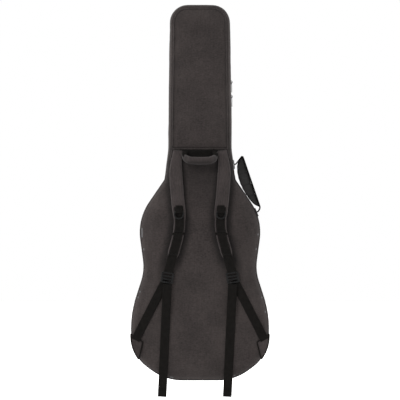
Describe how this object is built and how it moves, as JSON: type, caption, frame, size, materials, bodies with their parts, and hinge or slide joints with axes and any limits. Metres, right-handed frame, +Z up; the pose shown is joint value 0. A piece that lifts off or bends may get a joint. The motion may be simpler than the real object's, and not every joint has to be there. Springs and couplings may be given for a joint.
{
  "type": "padded gig bag",
  "caption": "Upright padded guitar gig bag: foam-lined shell and zipped lid, shoulder straps with adjusters, grab handle, side handle and flat front pocket.",
  "frame": {"origin": "centre of the padded grab handle on the bag's back", "axes": "+Z up towards the neck end, -Y out of the back with the straps, +Y out of the front with the pocket, +X towards the side handle"},
  "size_m": [0.3898, 0.1441, 1.1066],
  "materials": {
    "heather_fabric": "charcoal heather woven polyester, matt",
    "black_webbing": "black woven webbing and quilted black cloth",
    "nylon_lining": "smooth black nylon lining",
    "foam": "closed-cell padding foam",
    "moulded_plastic": "moulded acetal, satin",
    "nickel_plate": "black-nickel-plated die casting",
    "zip_chain": "woven zip tape with moulded coil"
  },
  "bodies": {
    "root": {"back_cover_upper": "heather_fabric", "back_cover_lower": "heather_fabric", "back_foam": "foam", "back_lining": "nylon_lining", "back_piping": "heather_fabric", "rear_gusset_cover": "heather_fabric", "rear_gusset_foam": "foam", "rear_gusset_lining": "nylon_lining", "rear_zip": "zip_chain", "rear_spine_strip": "heather_fabric", "neck_rest": "foam", "neck_strap": "black_webbing", "bottom_bumper": "foam", "anchor_tab_left": "heather_fabric", "anchor_tab_right": "heather_fabric", "anchor_webbing_left": "black_webbing", "anchor_webbing_right": "black_webbing", "side_handle_anchor_upper": "black_webbing", "side_handle_anchor_lower": "black_webbing"},
    "lid": {"front_cover": "heather_fabric", "front_foam": "foam", "front_lining": "nylon_lining", "front_piping": "heather_fabric", "front_gusset_cover": "heather_fabric", "front_gusset_foam": "foam", "front_gusset_lining": "nylon_lining", "front_zip": "zip_chain", "front_spine_strip": "heather_fabric", "pocket_wall": "heather_fabric", "pocket_panel": "heather_fabric", "pocket_zip_upper": "zip_chain", "pocket_zip_lower": "zip_chain"},
    "upper_slider": {"upper_slider": "nickel_plate"},
    "upper_pull": {"upper_pull": "nickel_plate"},
    "lower_slider": {"lower_slider": "nickel_plate"},
    "lower_pull": {"lower_pull": "nickel_plate"},
    "pocket_slider": {"pocket_slider": "nickel_plate"},
    "pocket_pull": {"pocket_pull": "nickel_plate"},
    "grab_handle": {"grab_handle_webbing": "black_webbing", "grab_handle_grip": "heather_fabric"},
    "side_handle": {"side_handle_webbing": "black_webbing", "side_handle_grip": "black_webbing"},
    "strap_left": {"strap_pad_left": "heather_fabric", "strap_webbing_left": "black_webbing", "d_ring_keeper_left": "black_webbing", "ladder_lock_left": "moulded_plastic"},
    "d_ring_left": {"d_ring_left": "moulded_plastic"},
    "tail_left": {"strap_tail_left": "black_webbing"},
    "strap_right": {"strap_pad_right": "heather_fabric", "strap_webbing_right": "black_webbing", "d_ring_keeper_right": "black_webbing", "ladder_lock_right": "moulded_plastic"},
    "d_ring_right": {"d_ring_right": "moulded_plastic"},
    "tail_right": {"strap_tail_right": "black_webbing"}
  },
  "joints": [
    {"name": "lid_open", "type": "hinge", "parent": "root", "child": "lid", "pos_m": [-0.1806, 0.082, -0.30832], "axis": [0.0919, 0, 0.9958], "range_deg": [0, 150]},
    {"name": "upper_slider_run", "type": "slide", "parent": "root", "child": "upper_slider", "axis": [-0.0134, 0, 0.9999], "range_m": [0, 0.145]},
    {"name": "upper_pull_swing", "type": "hinge", "parent": "upper_slider", "child": "upper_pull", "pos_m": [0.0904, 0.082, 0.22604], "axis": [0, -1, 0], "range_deg": [0, 160]},
    {"name": "lower_slider_run", "type": "slide", "parent": "root", "child": "lower_slider", "axis": [-0.0134, 0, 0.9999], "range_m": [-0.13, 0]},
    {"name": "lower_pull_swing", "type": "hinge", "parent": "lower_slider", "child": "lower_pull", "pos_m": [0.09095, 0.082, 0.18504], "axis": [0, -1, 0], "range_deg": [0, 160]},
    {"name": "pocket_slider_run", "type": "slide", "parent": "lid", "child": "pocket_slider", "axis": [1, 0, 0], "range_m": [-0.18, 0.07]},
    {"name": "pocket_pull_swing", "type": "hinge", "parent": "pocket_slider", "child": "pocket_pull", "pos_m": [0.055, 0.1343, -0.25], "axis": [0, 0, -1], "range_deg": [0, 160]},
    {"name": "strap_left_lift", "type": "hinge", "parent": "root", "child": "strap_left", "pos_m": [-0.0616, 0.0277, 0.034], "axis": [-1, 0, 0], "range_deg": [0, 30]},
    {"name": "d_ring_left_swing", "type": "hinge", "parent": "strap_left", "child": "d_ring_left", "pos_m": [-0.05895, 0.0047, -0.144], "axis": [-1, 0, 0], "range_deg": [0, 150]},
    {"name": "tail_left_hang", "type": "hinge", "parent": "strap_left", "child": "tail_left", "pos_m": [-0.0917, 0.0154, -0.3467], "axis": [-1, 0, 0], "range_deg": [-30, 0]},
    {"name": "strap_right_lift", "type": "hinge", "parent": "root", "child": "strap_right", "pos_m": [0.0616, 0.0277, 0.034], "axis": [-1, 0, 0], "range_deg": [0, 30]},
    {"name": "d_ring_right_swing", "type": "hinge", "parent": "strap_right", "child": "d_ring_right", "pos_m": [0.05895, 0.0047, -0.144], "axis": [-1, 0, 0], "range_deg": [0, 150]},
    {"name": "tail_right_hang", "type": "hinge", "parent": "strap_right", "child": "tail_right", "pos_m": [0.0917, 0.0154, -0.3467], "axis": [-1, 0, 0], "range_deg": [-30, 0]},
    {"name": "grab_handle_swing", "type": "hinge", "parent": "root", "child": "grab_handle", "pos_m": [0, 0.0265, 0.03], "axis": [-1, 0, 0], "range_deg": [0, 120]},
    {"name": "side_handle_sway", "type": "hinge", "parent": "root", "child": "side_handle", "pos_m": [0.13302, 0.049, -0.07587], "axis": [-0.4271, 0, 0.9042], "range_deg": [-18, 18], "stiffness_Nm_per_rad": 0.05}
  ],
  "couplings": [
    {"joint": "tail_left_hang", "follows": "strap_left_lift", "ratio": -1},
    {"joint": "tail_right_hang", "follows": "strap_right_lift", "ratio": -1}
  ]
}
